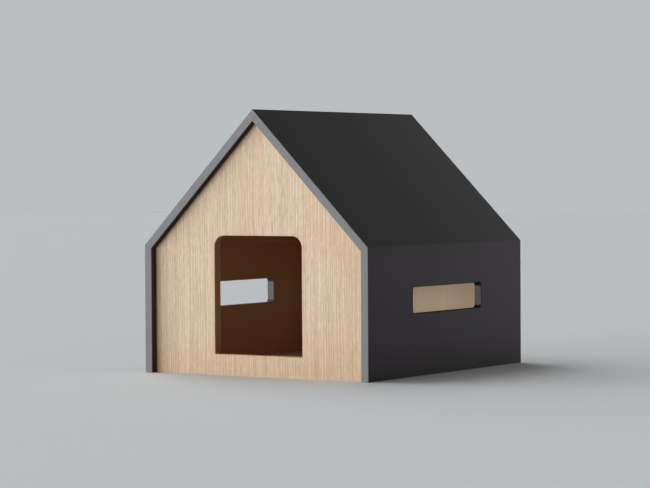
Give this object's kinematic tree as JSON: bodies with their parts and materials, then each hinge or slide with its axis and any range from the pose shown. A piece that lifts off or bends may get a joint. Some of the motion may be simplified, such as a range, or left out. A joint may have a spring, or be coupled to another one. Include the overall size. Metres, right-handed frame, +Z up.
{
  "type": "cat house",
  "caption": "Gabled cat house: a black board shell with grey edges round an oak front with an arched-corner doorway, and a long low window in each side wall.",
  "frame": {"origin": "on the ground, in the middle of the footprint", "axes": "+Z up, -Y out of the doorway, +X to the right of someone facing the doorway"},
  "size_m": [0.4, 0.454, 0.396],
  "materials": {
    "black_board": "fibreboard painted satin black outside and in the windows, left bare and brown inside the cabin",
    "oak_panel": "pale oak veneer with fine straight grain, matte",
    "grey_edging": "mid grey edging strip, satin",
    "brown_edging": "brown wood edging strip, matte",
    "beech_joinery": "plain beech"
  },
  "bodies": {
    "root": {"left_wall": "black_board", "right_wall": "black_board", "left_roof": "black_board", "right_roof": "black_board", "front_panel": "oak_panel", "back_panel": "oak_panel", "floor_panel": "oak_panel", "left_wall_front_edging": "grey_edging", "right_wall_front_edging": "grey_edging", "left_roof_front_edging": "grey_edging", "right_roof_front_edging": "grey_edging", "left_wall_rear_edging": "grey_edging", "right_wall_rear_edging": "grey_edging", "left_roof_rear_edging": "grey_edging", "right_roof_rear_edging": "grey_edging", "door_arch_edging": "brown_edging", "door_sill_edging": "brown_edging", "left_eave_spline": "beech_joinery", "right_eave_spline": "beech_joinery", "ridge_dowels": "beech_joinery", "front_panel_dowels": "beech_joinery", "back_panel_dowels": "beech_joinery", "floor_dowels": "beech_joinery"}
  },
  "joints": []
}
